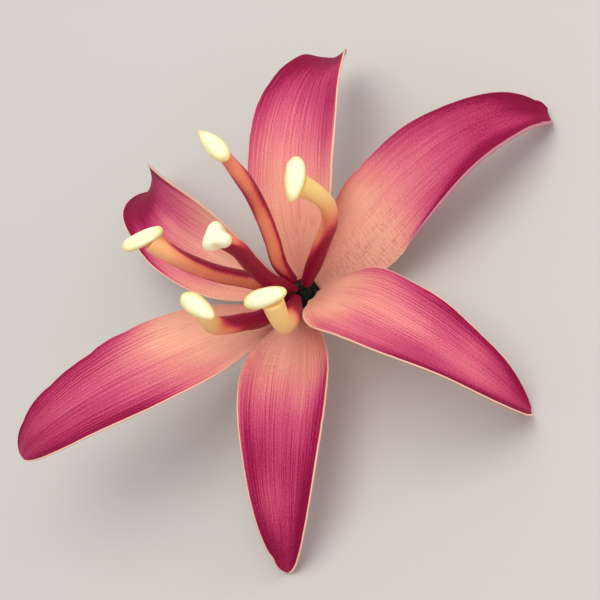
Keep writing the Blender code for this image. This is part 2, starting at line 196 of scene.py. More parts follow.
# Stamens and pistil, as in the CAD model. Their points were first worked out by a separate helper
# from places picked in the photo and guessed heights, and most were then rounded or moved by hand.
FILAMENT_SINK = 0.4          # how far the filaments run into the anthers
FOOT_SINK = 1.0              # how far their feet run on towards the taped stem
FILAMENT_SWELL = 8.0
FILAMENT_FLARE = 8.0
FOOT_RING_RADIUS = 3.0
FOOT_HEIGHT = 3.0
FOOT_TARGET = 1.4            # height on the stem that the feet point to

Stamen = namedtuple("Stamen", "foot_azimuth foot_radius radius end_radius through meets_at "
                              "anther_centre anther_along")

STAMENS = {
    "upper": Stamen(
        foot_azimuth=112, foot_radius=1.3, radius=1.95, end_radius=1.5,
        through=((-1.9, 4.7, 8.6), (-1.0, 8.5, 15), (-0.3, 13, 23), (-0.2, 16.5, 31),
                 (-1.9, 20.6, 35.8)),
        meets_at=2.6, anther_centre=(-3.8, 22.6, 40), anther_along=(0.66, -0.74, -0.05)),
    "right": Stamen(
        foot_azimuth=22, foot_radius=1.4, radius=1.95, end_radius=2.45,
        through=((6.7, 4, 8), (11.8, 6.2, 15), (16, 8, 21), (18.2, 9.2, 27), (18.1, 9.9, 32.5),
                 (17, 10.3, 35.2)),
        meets_at=0.6, anther_centre=(15.4, 11.5, 39.2), anther_along=(-0.1, -0.99, -0.05)),
    "left": Stamen(
        foot_azimuth=160, foot_radius=0.8, radius=2.1, end_radius=2.5,
        through=((-9, 1.3, 10), (-12.4, 0.6, 18), (-14.5, 0.3, 25), (-17, 0.9, 32),
                 (-20.6, 2.7, 35)),
        meets_at=1.3, anther_centre=(-22.1, 3.8, 38.5), anther_along=(0.93, 0.35, -0.1)),
    "lower_left": Stamen(
        foot_azimuth=205, foot_radius=0.8, radius=2.1, end_radius=2.1,
        through=((-5.8, -8, 9), (-7.4, -11.4, 17), (-8.6, -14.1, 24), (-8.7, -15.4, 29.5),
                 (-7.6, -15.4, 34.4)),
        meets_at=1.2, anther_centre=(-7.8, -14.1, 38.3), anther_along=(0.79, -0.62, 0.05)),
    "lower": Stamen(
        foot_azimuth=258, foot_radius=1.4, radius=2.05, end_radius=2.55,
        through=((1.8, -7, 9), (5.2, -12.6, 18), (7.4, -16.6, 26), (8.6, -17.4, 31),
                 (8.6, -15.8, 34.2)),
        meets_at=0.9, anther_centre=(8.1, -14, 37.8), anther_along=(0.99, 0.1, 0.07)),
}
ANTHER_LENGTH = 10.3
ANTHER_WIDTH = 4.6
ANTHER_HEIGHT = 3.8
ANTHER_GROOVES = 4
ANTHER_LIT_FROM = (-0.2, 0.2, 1)     # the lit side, which stays cream; the far side is painted yellower as painted shade
GROOVE_PAINTED_SHADE = 0.3           # how much yellower a groove is painted, as painted shade in it
USUAL_GROOVE = 0.11          # depth of a groove that is so, as a share of the radius

# One anther's own form: its width as a share of the usual, how much slimmer it is at its far end,
# how square its ends are (2 is an oval), how far it bulges to one side, how deep its grooves are,
# as a share of the radius, and how long the nib at its near end is, as a share of half the length.
AntherForm = namedtuple("AntherForm", "width taper square bulge groove nib")

ANTHER_FORMS = {
    "upper": AntherForm(width=1.00, taper=-0.20, square=1.8, bulge=0.0, groove=0.05, nib=0.12),
    "right": AntherForm(width=1.25, taper=0.16, square=1.9, bulge=0.10, groove=0.03, nib=0.0),
    "left": AntherForm(width=1.00, taper=0.04, square=2.6, bulge=0.0, groove=0.22, nib=0.0),
    "lower_left": AntherForm(width=1.00, taper=0.22, square=2.0, bulge=0.0, groove=0.04, nib=0.0),
    "lower": AntherForm(width=1.12, taper=0.10, square=2.2, bulge=0.0, groove=0.03, nib=0.0),
}

STYLE_FOOT_HEIGHT = 2.9
STYLE_FOOT_RADIUS = 0.9
STYLE_RADIUS = 2.0
STYLE_THROUGH = ((-1.4, -0.8, 9), (-1.6, -1.6, 16), (-1.2, -1.0, 26), (-0.4, -0.5, 34),
                 (-0.9, -0.5, 39.4))
STYLE_SINK = 1.2             # how far the style runs into the stigma
STYLE_SEED = 9
STIGMA_CENTRE = (-1.3, -0.6, 42.6)
STIGMA_RADIUS = 3.3
STIGMA_LOBES = 3
STIGMA_LOBE_DEPTH = 0.24
STIGMA_TURN = 95
STIGMA_FLATNESS = 0.82
STIGMA_DIMPLE = 0.22         # depth of the dent on top, as a share of the height

STEM_PROFILE = ((0, 2.3), (1.0, 2.3), (1.5, 1.9), (2.3, 0.9), (2.6, 0.1), (2.6, -1.4), (4.2, -2.0),
                (4.6, -2.6), (3.4, -3.8), (2.1, -4.4), (1.9, -4.6), (1.7, -4.8), (0, -4.8))

# The fine surface of the round pieces.
TUBE_ROWS = 110
TUBE_SIDES = 40
PATH_STEPS = 12              # points between two given ones on a smooth path
END_CROWDING = 0.75          # how much closer together a tube's rows get towards its ends
END_ROUND = 0.6              # distance over which a tube's far end rounds off
END_SHARE = 0.30             # how much of the radius it rounds off by
UNEVENNESS = 0.012           # how far a rolled tube's radius strays, as a share of it
ANTHER_ROWS = 64
ANTHER_SIDES = 64
STIGMA_ROWS = 72
STIGMA_SIDES = 96

# How one filament is dusted. Dust covers the foot up to the share ends_at, and the flanks, away
# from the crown, up to flanks_end; one side holds side_dust more. The crown faces the viewer or the
# light, so the darker flanks away from it are partly dust and partly painted shade. all_over and
# at_tip are thin dust everywhere and towards the far end. The bare paste turns yellow from the
# share yellow_from on. crown and side are directions as the view shows them: right, up and towards
# the viewer.
Flush = namedtuple("Flush", "ends_at blend flanks flanks_end crown side side_dust all_over at_tip "
                            "yellow yellow_from")

FLUSHES = {
    "upper": Flush(
        ends_at=0.10, blend=0.22, flanks=0.70, flanks_end=0.95, crown=(-0.1, 0.1, 1),
        side=(1, 0, 0), side_dust=0.15, all_over=0.02, at_tip=0.30, yellow=0.0, yellow_from=0.9),
    "right": Flush(
        ends_at=0.29, blend=0.26, flanks=0.70, flanks_end=0.74, crown=(-0.5, 0.3, 0.8),
        side=(1, -0.5, 0), side_dust=0.30, all_over=0.06, at_tip=-0.06, yellow=1.0,
        yellow_from=0.55),
    "left": Flush(
        ends_at=0.12, blend=0.25, flanks=0.85, flanks_end=1.0, crown=(0, -0.4, 1), side=(0, 1, 0),
        side_dust=0.3, all_over=0.26, at_tip=-0.12, yellow=0.50, yellow_from=0.74),
    "lower_left": Flush(
        ends_at=0.50, blend=0.22, flanks=0.75, flanks_end=0.9, crown=(0, -0.5, 0.8),
        side=(0, 1, 0), side_dust=0.25, all_over=0.10, at_tip=-0.05, yellow=0.8, yellow_from=0.66),
    "lower": Flush(
        ends_at=0.30, blend=0.30, flanks=0.40, flanks_end=0.70, crown=(-0.4, -0.3, 0.9),
        side=(1, 0.3, 0), side_dust=0.3, all_over=0.0, at_tip=0.0, yellow=0.8, yellow_from=0.25),
}
STYLE_FLUSH = Flush(ends_at=0.86, blend=0.20, flanks=0.8, flanks_end=1.3, crown=(0.7, 0.6, 0.4),
                    side=(-0.7, -0.5, 0.5), side_dust=0.7, all_over=0.15, at_tip=0.0, yellow=0.2,
                    yellow_from=0.85)

# Colours, as they look in plain light.
PETAL_COLOURS = (
    (0.00, (248, 181, 154)),
    (0.10, (243, 168, 147)),
    (0.20, (236, 150, 138)),
    (0.40, (222, 118, 131)),
    (0.60, (202, 78, 112)),
    (0.80, (180, 46, 93)),
    (0.90, (158, 20, 74)),
    (1.00, (141, 7, 60)))
PETAL_BACK = (222, 150, 136)
PETAL_BACK_DUSTED = (190, 92, 112)
PETAL_RIM = (248, 204, 174)
# A dusted rim's lilac-grey: partly dust, partly painted shade on the margin.
PETAL_RIM_DUSTED_AND_SHADED = (190, 130, 144)
PASTE_ORANGE = (246, 160, 116)
PASTE_YELLOW = (255, 211, 134)
FLUSH_COLOURS = ((0.0, (224, 104, 88)), (0.5, (190, 38, 74)), (1.0, (142, 2, 48)))
ANTHER_COLOUR = (255, 251, 207)
# The yellower colour of painted shade on the anthers and the stigma.
ANTHER_PAINTED_SHADE = (248, 230, 156)
STIGMA_COLOUR = (255, 250, 212)
# Near-black tape, which round the collar also stands in for shade between the petal roots.
TAPE_COLOUR = (7, 11, 9)
TAPE_WORN = (26, 42, 24)
FLOOR_COLOUR = (205, 200, 193)
ANTHER_ROUGHNESS = 0.5
STIGMA_ROUGHNESS = 0.35

# The stage, in metres: the floor's half-width, the even light all round, and the soft boxes. Each
# box has the direction that it shines from as the view shows it, its distance, size, power and
# colour.
FLOOR_REACH = 12.0
SKY_COLOUR = (0.96, 0.97, 1.0, 1.0)
SKY_STRENGTH = 0.60
LAMPS = {
    "key": ((-0.55, 0.75, 0.95), 0.9, 0.85, 4.9, (1.0, 0.985, 0.96)),
    "fill": ((0.58, -0.32, 1.0), 1.15, 0.8, 2.1, (0.97, 0.98, 1.0)),
    "side": ((0.8, 0.95, 0.85), 1.0, 0.6, 1.5, (1.0, 0.99, 0.97)),
}


def linear(colour):
    """An 8-bit display colour as linear light, with full alpha."""
    shares = [channel / 255 for channel in colour]
    return (*(c / 12.92 if c <= 0.04045 else ((c + 0.055) / 1.055) ** 2.4 for c in shares), 1.0)


def smoothstep(low, high, value):
    share = np.clip((value - low) / (high - low), 0.0, 1.0)
    return share * share * (3 - 2 * share)


def value_noise(x, y, seed):
    """Smooth noise from -1 to 1 at each place, with one free value for each unit cell."""
    table = np.random.default_rng(seed).uniform(-1, 1, (NOISE_CELLS, NOISE_CELLS))
    x, y = np.broadcast_arrays(x, y)
    column, row = np.floor(x).astype(int), np.floor(y).astype(int)
    right, up = smoothstep(0, 1, x - column), smoothstep(0, 1, y - row)

    def corner(i, j):
        return table[(column + i) % NOISE_CELLS, (row + j) % NOISE_CELLS]

    low = corner(0, 0) * (1 - right) + corner(1, 0) * right
    high = corner(0, 1) * (1 - right) + corner(1, 1) * right
    return low * (1 - up) + high * up


def blend(values, share):
    """A smooth (Bernstein) blend of values from share 0 to share 1."""
    last = len(values) - 1
    return sum(math.comb(last, i) * value * share ** i * (1 - share) ** (last - i)
               for i, value in enumerate(values))


def bloom_to_view():
    """Turns the bloom's directions into the view's: right, up and towards the viewer."""
    tilt, towards = math.radians(AXIS_TILT), math.radians(AXIS_TOWARDS)
    axis = Vector((math.sin(tilt) * math.cos(towards), math.sin(tilt) * math.sin(towards),
                   math.cos(tilt)))
    right = (Vector((1, 0, 0)) - axis * axis.x).normalized()
    return Matrix((right, axis.cross(right), axis)).transposed()


def seen_direction(direction):
    """A direction given as the view shows it, in the bloom's own frame."""
    return np.array(bloom_to_view().transposed() @ Vector(direction).normalized())


def unit(vectors):
    return vectors / np.linalg.norm(vectors, axis=-1, keepdims=True)


def ring_piece(name, rings, values, material):
    """A closed smooth piece from rings of points, the same number in each, with its ends closed.

    values holds one number or vector for each point, written to the mesh under its name.
    """
    rows, columns, _ = rings.shape
    points = rings.reshape(-1, 3)
    ends = np.array([rings[0].mean(axis=0), rings[-1].mean(axis=0)])
    points = np.vstack([points, ends])
    index = np.arange(rows * columns).reshape(rows, columns)
    ahead = np.roll(index, -1, axis=1)
    quads = np.stack([index[:-1], ahead[:-1], ahead[1:], index[1:]], axis=-1).reshape(-1, 4)
    first, last = rows * columns, rows * columns + 1
    caps = [(first, b, a) for a, b in zip(index[0], ahead[0])]
    caps += [(last, a, b) for a, b in zip(index[-1], ahead[-1])]
    faces = quads.tolist() + [tuple(int(i) for i in cap) for cap in caps]

    mesh = bpy.data.meshes.new(name)
    mesh.from_pydata(points.tolist(), [], faces)
    for key, field in values.items():
        field = field.reshape(rows * columns, -1)
        cap_values = [field[:columns].mean(axis=0), field[-columns:].mean(axis=0)]
        field = np.vstack([field, cap_values]).astype(np.float32)
        kind, prop = ("FLOAT", "value") if field.shape[1] == 1 else ("FLOAT_VECTOR", "vector")
        mesh.attributes.new(key, kind, "POINT").data.foreach_set(prop, field.ravel())
    a, b, c = (points[quads[:, i]] for i in (0, 1, 2))
    if np.einsum("ij,ij->i", a, np.cross(b, c)).sum() < 0:
        mesh.flip_normals()
    mesh.transform(BLOOM)
    mesh.shade_smooth()
    mesh.materials.append(material)
    piece = bpy.data.objects.new(name, mesh)
    bpy.context.scene.collection.objects.link(piece)
    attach(piece, "root")
    return piece


# Materials -----------------------------------------------------------------------------------

class Shading:
    """A material's nodes, made and linked in one line each."""

    def __init__(self, name):
        self.material = bpy.data.materials.new(name)
        self.material.use_nodes = True
        self.tree = self.material.node_tree
        self.shader = self.tree.nodes["Principled BSDF"]

    def node(self, kind, inputs=None, **settings):
        made = self.tree.nodes.new("ShaderNode" + kind)
        for key, value in settings.items():
            setattr(made, key, value)
        for socket, value in (inputs or {}).items():
            self.feed(made.inputs[socket], value)
        return made

    def feed(self, socket, value):
        if isinstance(value, bpy.types.NodeSocket):
            self.tree.links.new(value, socket)
        else:
            socket.default_value = value

    def maths(self, operation, a, b=0.0):
        return self.node("Math", {0: a, 1: b}, operation=operation).outputs[0]

    def scaled_sum(self, base, *terms):
        """base plus each (value, weight)'s distance from a half, times its weight."""
        for value, weight in terms:
            centred = self.maths("SUBTRACT", value, 0.5)
            base = self.maths("ADD", base, self.maths("MULTIPLY", centred, weight))
        return base

    def attribute(self, name, output="Fac"):
        return self.node("Attribute", attribute_name=name).outputs[output]

    def noise(self, where, scale, detail=2.0, roughness=0.5):
        inputs = {"Vector": where, "Scale": scale, "Detail": detail, "Roughness": roughness}
        return self.node("TexNoise", inputs).outputs["Fac"]

    def stretched(self, where, factors):
        return self.node("VectorMath", {0: where, 1: factors}, operation="MULTIPLY").outputs[0]

    def ramp(self, value, stops):
        made = self.node("ValToRGB", {"Fac": value})
        elements = made.color_ramp.elements
        for place, _ in stops[2:]:
            elements.new(place)
        for element, (place, colour) in zip(elements, stops):
            element.position = place
            element.color = linear(colour)
        return made.outputs["Color"]

    def range(self, value, low, high):
        """0 below low, 1 above high, smooth between."""
        inputs = {"Value": value, "From Min": low, "From Max": high}
        return self.node("MapRange", inputs, interpolation_type="SMOOTHSTEP").outputs[0]

    def mix(self, factor, a, b):
        made = self.node("Mix", data_type="RGBA")
        colour_a, colour_b = (s for s in made.inputs if s.type == "RGBA")
        self.feed(made.inputs[0], factor)
        self.feed(colour_a, linear(a) if isinstance(a, tuple) else a)
        self.feed(colour_b, linear(b) if isinstance(b, tuple) else b)
        return next(s for s in made.outputs if s.type == "RGBA")

    def finish(self, colour, roughness, height, height_mm, subsurface=0.0, specular=0.4):
        bump = self.node("Bump", {"Height": height, "Distance": height_mm * MM, "Strength": 1.0})
        self.feed(self.shader.inputs["Base Color"], colour)
        self.feed(self.shader.inputs["Roughness"], roughness)
        self.feed(self.shader.inputs["Normal"], bump.outputs["Normal"])
        self.shader.inputs["Subsurface Weight"].default_value = subsurface
        self.shader.inputs["Subsurface Radius"].default_value = (1.0, 0.45, 0.3)
        self.shader.inputs["Subsurface Scale"].default_value = 0.8 * MM
        self.shader.inputs["Specular IOR Level"].default_value = specular
        return self.material


def petal_material():
    s = Shading("dusted_and_shaded_petal_paste")
    place = s.attribute("place", "Vector")
    grain = s.noise(place, 2.6, 3.0, 0.65)
    streak = s.noise(s.stretched(place, (0.05, 1.0, 1.0)), 2.4, 2.0)
    cloud = s.noise(place, 0.16, 2.0)
    ripple = s.noise(s.stretched(place, (1.0, 0.25, 1.0)), 1.6, 2.0, 0.6)
    rippled = s.maths("MULTIPLY", s.maths("SUBTRACT", 0.5, ripple), s.attribute("ripple"))
    dust = s.scaled_sum(s.attribute("dust"), (grain, 0.60), (streak, 0.14), (cloud, 0.10))
    dust = s.maths("ADD", dust, s.maths("MULTIPLY", rippled, RIPPLE_DUST))
    front = s.ramp(dust, PETAL_COLOURS)
    rim = s.scaled_sum(s.attribute("rim"), (grain, 0.6))
    # A rim turns lilac-grey where it is dusted: partly dust, partly painted shade.
    rim_colour = s.mix(s.range(s.attribute("rim_dust_and_shade"), 0.45, 0.95), PETAL_RIM, PETAL_RIM_DUSTED_AND_SHADED)
    colour = s.mix(s.range(rim, 0.2, 0.7), front, rim_colour)
    back = s.mix(s.range(dust, 0.1, 1.0), PETAL_BACK, PETAL_BACK_DUSTED)
    colour = s.mix(s.attribute("back"), colour, back)
    roughness = s.scaled_sum(0.64, (grain, 0.16))
    height = s.scaled_sum(grain, (streak, 1.0))
    height = s.maths("SUBTRACT", height, s.maths("MULTIPLY", rippled, RIPPLE_HEIGHT))
    return s.finish(colour, roughness, height, 0.08, subsurface=0.10, specular=0.15)


def filament_material(name):
    """Bare paste from orange to yellow along the piece, under the brushed-on dust, which on the
    flanks is partly painted shade.
    """
    s = Shading(name)
    place = s.attribute("place", "Vector")
    grain = s.noise(place, 2.2, 3.0, 0.6)
    cloud = s.noise(place, 0.35, 2.0)
    streak = s.noise(s.stretched(place, (0.1, 1.0, 1.0)), 1.6, 2.0)
    yellow = s.scaled_sum(s.attribute("yellow"), (cloud, 0.3), (grain, 0.1))
    paste = s.mix(s.range(yellow, 0.0, 1.0), PASTE_ORANGE, PASTE_YELLOW)
    dust = s.scaled_sum(s.attribute("dust"), (grain, 0.24), (cloud, 0.2), (streak, 0.14))
    flush = s.ramp(s.range(dust, 0.3, 1.0), FLUSH_COLOURS)
    colour = s.mix(s.range(dust, 0.05, 0.75), paste, flush)
    roughness = s.scaled_sum(0.5, (grain, 0.2))
    height = s.scaled_sum(grain, (cloud, 1.5))
    return s.finish(colour, roughness, height, 0.05, subsurface=0.3)


def cream_material(name, colour, painted_shade, roughness):
    """Smooth cream paste, painted a little yellower in its hollows and round its sides: painted
    shade.
    """
    s = Shading(name)
    place = s.attribute("place", "Vector")
    grain = s.noise(place, 1.6, 3.0)
    cloud = s.noise(place, 0.5, 2.0)
    shaded = s.scaled_sum(s.attribute("painted_shade"), (cloud, 0.5), (grain, 0.2))
    tint = s.mix(s.range(shaded, 0.1, 1.0), colour, painted_shade)
    rough = s.scaled_sum(roughness, (grain, 0.15))
    return s.finish(tint, rough, s.scaled_sum(grain, (cloud, 2.5)), 0.08, subsurface=0.2)


def tape_material():
    s = Shading("floral_tape_and_painted_shade")
    place = s.attribute("place", "Vector")
    crepe = s.noise(s.stretched(place, (1.0, 1.0, 6.0)), 1.2, 3.0, 0.6)
    wear = s.noise(place, 0.9, 2.0)
    worn = s.scaled_sum(s.attribute("crest"), (wear, 1.4), (crepe, 0.6))
    colour = s.mix(s.range(worn, 0.35, 1.1), TAPE_COLOUR, TAPE_WORN)
    return s.finish(colour, s.scaled_sum(0.55, (wear, 0.2)), crepe, 0.12, specular=0.2)


# Petals --------------------------------------------------------------------------------------

def half_width(petal, shares):
    """Half the petal's width at each share of its length."""
    rising = np.clip(shares / petal.widest_at, 0, 1)
    rise = CLAW_SHARE + (1 - CLAW_SHARE) * np.sin(0.5 * math.pi * rising) ** petal.spread
    left = np.clip((1 - shares) / (1 - petal.widest_at), 0, 1)
    fall = np.clip(1 - (1 - left) ** petal.draw, 0, 1) ** petal.fullness
    cut = 0.5 * petal.width * np.where(shares < petal.widest_at, rise, fall)
    return np.maximum(cut, 0.5 * petal.tip_width)


def petal_frame(petal, shares):
    """Along the midrib: its points, and the directions across the petal and up from its face."""
    climb = np.radians(blend(petal.climb, shares))
    side = np.radians(petal.azimuth + petal.sway[0] * shares + petal.sway[1] * shares ** 2)
    heading = np.stack([np.sin(climb) * np.cos(side), np.sin(climb) * np.sin(side),
                        np.cos(climb)], -1)
    level = np.stack([-np.sin(side), np.cos(side), 0 * side], -1)
    facing = np.cross(heading, level)
    roll = np.radians(blend(petal.twist, shares))[:, None]
    sideways = np.cos(roll) * level + np.sin(roll) * facing
    inwards = np.cos(roll) * facing - np.sin(roll) * level
    steps = 0.5 * (heading[1:] + heading[:-1]) * np.diff(shares)[:, None] * petal.length
    azimuth = math.radians(petal.azimuth)
    root = np.array((ROOT_RING_RADIUS * math.cos(azimuth), ROOT_RING_RADIUS * math.sin(azimuth),
                     petal.root_height))
    ribs = root + np.vstack([np.zeros(3), np.cumsum(steps, axis=0)])
    return ribs, sideways, inwards


def petal_face(petal, shares, across, widths):
    """Points of the petal's inner face, one row for each share and one column for each across."""
    ribs, sideways, inwards = petal_frame(petal, shares)
    curl = np.radians(blend(petal.cup, shares))
    curl = np.copysign(np.maximum(np.abs(curl), FLATTEST_CURL), curl)[:, None]
    reach = widths / curl
    waves = 2 * math.pi * RUFFLE_COUNT * shares[:, None] + RUFFLE_LAG * across
    waves = waves + math.radians(petal.azimuth)
    lift = reach * (1 - np.cos(curl * across))
    lift = lift + RUFFLE * np.sin(waves) * across ** 4 * np.sin(math.pi * shares)[:, None]
    out = reach * np.sin(curl * across)
    return ribs[:, None] + sideways[:, None] * out[..., None] + inwards[:, None] * lift[..., None]


def section(widths):
    """The closed cross-section, row by row: place across, share of the depth, and what each is.

    The face runs from the right margin to the left, then come the rounded left margin, the back
    and the rounded right margin. The last two results are 1 on the margins and 1 on the back.
    """
    inset = 1 - np.minimum(MARGIN_ROUND / np.maximum(widths, 0.05), 0.9)
    angles = np.linspace(0.5 * math.pi, -0.5 * math.pi, EDGE_COLUMNS + 2)[1:-1]
    arc = inset + (1 - inset) * np.cos(angles)
    arc_depth = np.broadcast_to(0.5 - 0.5 * np.sin(angles), arc.shape)
    face = inset * np.linspace(-1, 1, FACE_COLUMNS)
    back = inset * np.linspace(1, -1, BACK_COLUMNS)
    across = np.concatenate([face, arc, back, -arc[:, ::-1]], axis=1)
    depth = np.concatenate([0 * face, arc_depth, 0 * back + 1, arc_depth[:, ::-1]], axis=1)
    margin = np.concatenate([0 * face, 0 * arc + 1, 0 * back, 0 * arc + 1], axis=1)
    behind = np.concatenate([0 * face, arc_depth ** 2, 0 * back + 1, arc_depth[:, ::-1] ** 2],
                            axis=1)
    return across, depth, margin, behind


def vein_lines(across, shares, count, seed):
    """Fine lines along the petal, each with its own place and strength: 1 on a line, 0 between."""
    place = across * count + VEIN_WANDER * value_noise(across * 2.5, shares * 3.5, seed)
    jitter = np.random.default_rng(seed + 1).uniform(-VEIN_JITTER, VEIN_JITTER, 4 * count)
    lines = np.zeros_like(place)
    for step in (-1, 0, 1):
        cell = np.floor(place) + step
        centre = cell + 0.5 + jitter[cell.astype(int) % len(jitter)]
        strength = 0.55 + 0.45 * value_noise(cell, shares * VEIN_BREAKS, seed + 2)
        lines = np.maximum(lines, strength * np.exp(-((place - centre) / VEIN_WIDTH) ** 2))
    return lines


def dusting(dust, shares, across, lines, grooves, broad, seed):
    """How much dust each place holds, from 0 to about 1."""
    side = np.where(across[..., None] > 0, dust.left, dust.right)
    lean = np.abs(across) ** dust.reach
    start = dust.middle[0] + (side[..., 0] - dust.middle[0]) * lean
    full = dust.middle[1] + (side[..., 1] - dust.middle[1]) * lean
    wander = 0.03 * value_noise(across * 3, shares * 4, seed)
    amount = dust.top * smoothstep(start, full, shares + wander)
    for centre, reach, begins, ends, strength in dust.bands:
        profile = np.exp(-((across - centre) / reach) ** 2)
        run = smoothstep(begins - 0.12, begins + 0.12, shares)
        run = run * (1 - smoothstep(ends - 0.10, ends + 0.10, shares))
        amount = amount + strength * profile * run
    grooved = smoothstep(0.05, 0.22, shares) * (1 - 0.6 * smoothstep(0.72, 0.98, shares))
    amount = amount + grooved * (dust.dark * (grooves - 0.15) + 0.06 * broad)
    veined = smoothstep(0.15, 0.40, shares) * (1 - 0.75 * smoothstep(0.72, 0.98, shares))
    return amount - veined * dust.pale * smoothstep(0.1, 0.5, amount) * (0.6 + 0.4 * broad) * lines


def outline_widths(name, petal, shares, across, seed):
    """Half the width at each place: the cut outline with its nicks and its slight unevenness."""
    widths = half_width(petal, shares[:, 0])[:, None]
    margin = 3.0 * np.sign(across)
    coarse, fine = (shares * cells for cells in NIBBLE_CELLS)
    nibble = value_noise(coarse, margin, seed) + value_noise(fine, margin, seed + 1)
    wander = MARGIN_NIBBLE * (1 + 0.5 * nibble) * np.abs(across) ** 6
    widths = widths * (1 - wander * (shares < 0.97))
    for side, share, depth, reach in NICKS[name]:
        cut = depth * np.exp(-((shares - share) / reach) ** 2)
        widths = widths - cut * smoothstep(0.2, 1.0, side * across)
    return np.maximum(widths, 0.05)


def make_petal(name, petal, seed, material):
    dust = DUST[name]
    share_row = 1 - (1 - np.linspace(0, 1, PETAL_ROWS)) ** ROW_SPACING
    shares = share_row[:, None]
    end_round = rounding(np.minimum(shares, 1 - shares), TIP_ROUND)
    across, depth, margin, behind = section(half_width(petal, share_row)[:, None])
    widths = outline_widths(name, petal, shares, across, seed + 7)
    face = petal_face(petal, share_row, across, widths)

    left = petal_face(petal, share_row, across + NUDGE, widths)
    right = petal_face(petal, share_row, across - NUDGE, widths)
    normals = unit(np.cross(np.gradient(face, axis=0), left - right))

    lines = vein_lines(across, shares, dust.veins, seed)
    faint = vein_lines(across, shares, 2 * dust.veins, seed + 3)
    lines = np.maximum(lines, FAINT_VEINS * faint)
    grooves = vein_lines(across, shares, dust.veins + GROOVES_MORE, seed + 8)
    broad = value_noise(across * SWELL_CELLS[0], shares * SWELL_CELLS[1], seed + 4)
    strength, along, sideways = dust.wrinkles
    near_root = strength * smoothstep(*CREASED_FROM, shares) * smoothstep(*CREASED_TO, shares)
    crossing = value_noise(shares * along, across * sideways, seed + 5)
    creases = near_root * np.exp(-(crossing / CREASE_WIDTH) ** 2)
    ripple = RIPPLED.get(name, 0.0) * smoothstep(*RIPPLED_FROM, shares)
    ripple = ripple * smoothstep(*RIPPLED_TO, shares) * smoothstep(0.9, -0.6, across)
    relief = VEIN_DEPTH * (lines - 1) + SWELL_DEPTH * (0.5 * broad - 0.5)
    relief = relief - WRINKLE_DEPTH * creases - GROOVE_DEPTH * grooves
    relief = relief * smoothstep(0.0, 0.10, shares) * (1 - smoothstep(0.93, 1.0, shares))
    relief = relief * (1 - margin) * (1 - 0.6 * behind) * np.where(behind > 0.5, -1, 1)
    for share, place, along, sideways, height in PUSHED.get(name, ()):
        relief = relief + height * np.exp(-((shares - share) / along) ** 2
                                          - ((across - place) / sideways) ** 2)
    thickness = PETAL_THICKNESS * (1 - (1 - MARGIN_THICKNESS) * np.abs(across) ** 3) * end_round
    middle = 0.5 * (1 - end_round) * PETAL_THICKNESS
    rings = face + normals * (relief - middle - depth * thickness)[..., None]

    amount = dusting(dust, shares, across, lines, grooves, broad, seed + 2)
    # The creases are painted darker here: painted shade, added to the dust amount.
    amount = amount + CREASE_PAINTED_SHADE * creases
    band = np.where(across > 0, dust.edges[0], dust.edges[1])
    cut_edge = margin * smoothstep(0.05, 0.4, depth) * smoothstep(0.0, BARE_EDGE, band)
    band = band * smoothstep(0.0, dust.edges[2], shares)
    from_margin = (1 - np.abs(across)) * widths
    beside = (1 - behind) * smoothstep(1.25, 0.75, from_margin / np.maximum(band, 0.01))
    values = {
        "dust": amount,
        "rim": np.maximum(cut_edge, beside),
        # how far the rim turns lilac-grey: partly dust, partly painted shade
        "rim_dust_and_shade": RIM_DUST_AND_SHADE.get(name, RIM_DUST_AND_SHADE_USUAL) * amount,
        "ripple": ripple,
        "back": behind,
        "place": np.stack([shares * petal.length + 0 * across, across * widths + 40.0 * seed,
                           3.0 * behind], axis=-1),
    }
    piece = ring_piece(name + "_veined", rings, values, material)
    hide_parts(name)


# Stamens and pistil --------------------------------------------------------------------------

def smooth_path(points, count):
    """Points on a Catmull-Rom curve through the given ones, closer together towards both ends.

    The distance along the curve comes with each point.
    """
    knots = [Vector(p) for p in points]
    knots = [2 * knots[0] - knots[1]] + knots + [2 * knots[-1] - knots[-2]]
    fine = []
    for a, b, c, d in zip(knots, knots[1:], knots[2:], knots[3:]):
        for step in range(PATH_STEPS):
            t = step / PATH_STEPS
            fine.append(0.5 * (2 * b + (c - a) * t + (2 * a - 5 * b + 4 * c - d) * t ** 2
                               + (3 * b - a - 3 * c + d) * t ** 3))
    fine = np.array(fine + [knots[-2]])
    steps = np.linalg.norm(np.diff(fine, axis=0), axis=1)
    travelled = np.concatenate([[0.0], np.cumsum(steps)])
    even = np.linspace(0, 1, count)
    wanted = travelled[-1] * (even - END_CROWDING * np.sin(2 * math.pi * even) / (2 * math.pi))
    return np.stack([np.interp(wanted, travelled, fine[:, axis]) for axis in range(3)], -1), wanted


def rounding(distance, reach):
    """How wide a round end is at a distance from it, as a share of the full width."""
    return np.sqrt(np.clip(1 - (1 - np.clip(distance / reach, 0, 1)) ** 2, 0.003, 1))


def carried_frames(path):
    """Directions across the path that turn with it as little as they can."""
    tangents = unit(np.gradient(path, axis=0))
    aside = (0.3, 0.1, 1.0) if abs(tangents[0][2]) < 0.9 else (1.0, 0.2, 0.1)
    across = [unit(np.cross(tangents[0], aside))]
    for tangent in tangents[1:]:
        carried = across[-1] - tangent * np.dot(across[-1], tangent)
        across.append(unit(carried))
    across = np.array(across)
    return across, np.cross(tangents, across)


def tube_radii(distances, radii):
    """A tube's radius at each distance: its foot swells to the body, which flares to the end."""
    foot, body, end = radii
    grown = smoothstep(0, 1, distances / FILAMENT_SWELL)
    flared = smoothstep(0, 1, 1 - (distances[-1] - distances) / FILAMENT_FLARE)
    return foot + (body - foot) * grown + (end - body) * flared


